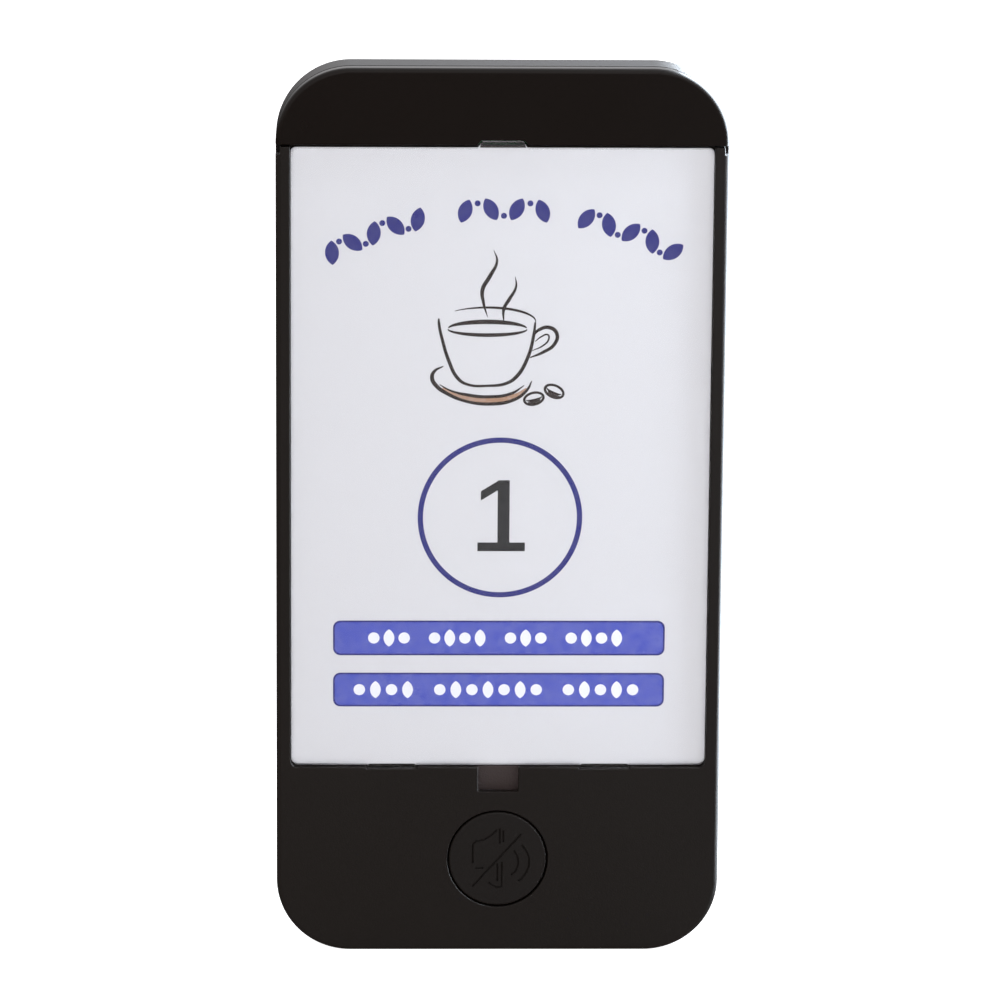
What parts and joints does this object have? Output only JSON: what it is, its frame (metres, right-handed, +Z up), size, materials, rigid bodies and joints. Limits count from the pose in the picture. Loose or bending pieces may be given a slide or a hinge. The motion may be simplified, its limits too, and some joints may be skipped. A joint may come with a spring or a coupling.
{
  "type": "guest pager",
  "caption": "Phone-shaped guest pager: thin black housing with a lamp cap, a printed card behind a clear tilting cover, a round mute key and a vibration motor inside.",
  "frame": {"origin": "middle of the bottom edge, on the surface that the pager stands on", "axes": "+X to the right seen from the front, +Y from the front face to the back, +Z up the length"},
  "size_m": [0.06, 0.01, 0.1216],
  "materials": {
    "matte_black": "fine matte moulding",
    "key_black": "fine matte moulding",
    "lamp_cap_black": "smoked, satin",
    "clear_plastic": "clear, polished",
    "printed_card": "satin coated card",
    "board_green": "solder mask",
    "chip_black": "moulded epoxy",
    "steel": "nickel plated",
    "gold_plate": "gold plated",
    "tungsten": "sintered",
    "foil_silver": "pouch foil",
    "foam_black": "closed cell foam",
    "rubber_black": "soft",
    "connector_white": "moulded",
    "lamp_white": "translucent",
    "lead_red": "wire insulation",
    "lead_black": "wire insulation",
    "ceramic_tan": "ceramic"
  },
  "bodies": {
    "housing": {"front_frame": "matte_black", "rear_shell": "matte_black", "top_cap": "lamp_cap_black", "card_insert": "printed_card", "main_pcb": "board_green", "battery_strip": "board_green", "tact_switch_body": "chip_black", "mcu_chip": "chip_black", "receiver_chip": "chip_black", "charger_chip": "chip_black", "power_inductor": "chip_black", "buzzer": "chip_black", "crystal": "steel", "capacitor_1": "ceramic_tan", "capacitor_2": "ceramic_tan", "capacitor_3": "ceramic_tan", "antenna_coil": "gold_plate", "light_guide": "lamp_white", "charge_contact_left": "gold_plate", "charge_contact_right": "gold_plate", "battery_cell": "foil_silver", "battery_foam": "foam_black", "battery_header": "connector_white", "battery_plug": "connector_white", "battery_lead_red": "lead_red", "battery_lead_black": "lead_black", "motor_lead_red": "lead_red", "motor_lead_black": "lead_black", "motor_can": "steel", "motor_boot": "rubber_black", "case_screw_1": "steel", "board_screw_1": "steel", "case_screw_2": "steel", "board_screw_2": "steel", "case_screw_3": "steel", "board_screw_3": "steel", "case_screw_4": "steel", "board_screw_4": "steel", "led_1": "lamp_white", "led_2": "lamp_white", "led_3": "lamp_white", "led_4": "lamp_white", "led_5": "lamp_white", "led_6": "lamp_white"},
    "cover": {"clear_cover": "clear_plastic"},
    "mute_key": {"mute_button": "key_black"},
    "switch_plunger": {"tact_switch_plunger": "rubber_black"},
    "motor_rotor": {"motor_shaft": "steel", "eccentric_weight": "tungsten"}
  },
  "joints": [
    {"name": "cover_tilt", "type": "hinge", "parent": "housing", "child": "cover", "pos_m": [0, -0.0049, 0.11185], "axis": [-1, 0, 0], "range_deg": [0, 60]},
    {"name": "button_press", "type": "slide", "parent": "housing", "child": "mute_key", "axis": [0, 1, 0], "range_m": [0, 0.00035], "stiffness_N_per_m": 1500},
    {"name": "plunger_press", "type": "slide", "parent": "housing", "child": "switch_plunger", "axis": [0, 1, 0], "range_m": [0, 0.00035]},
    {"name": "motor_spin", "type": "hinge", "parent": "housing", "child": "motor_rotor", "pos_m": [0.0224, 0.0005, 0.04], "axis": [1, 0, 0], "continuous": true}
  ],
  "couplings": [
    {"joint": "plunger_press", "follows": "button_press", "ratio": 1}
  ]
}
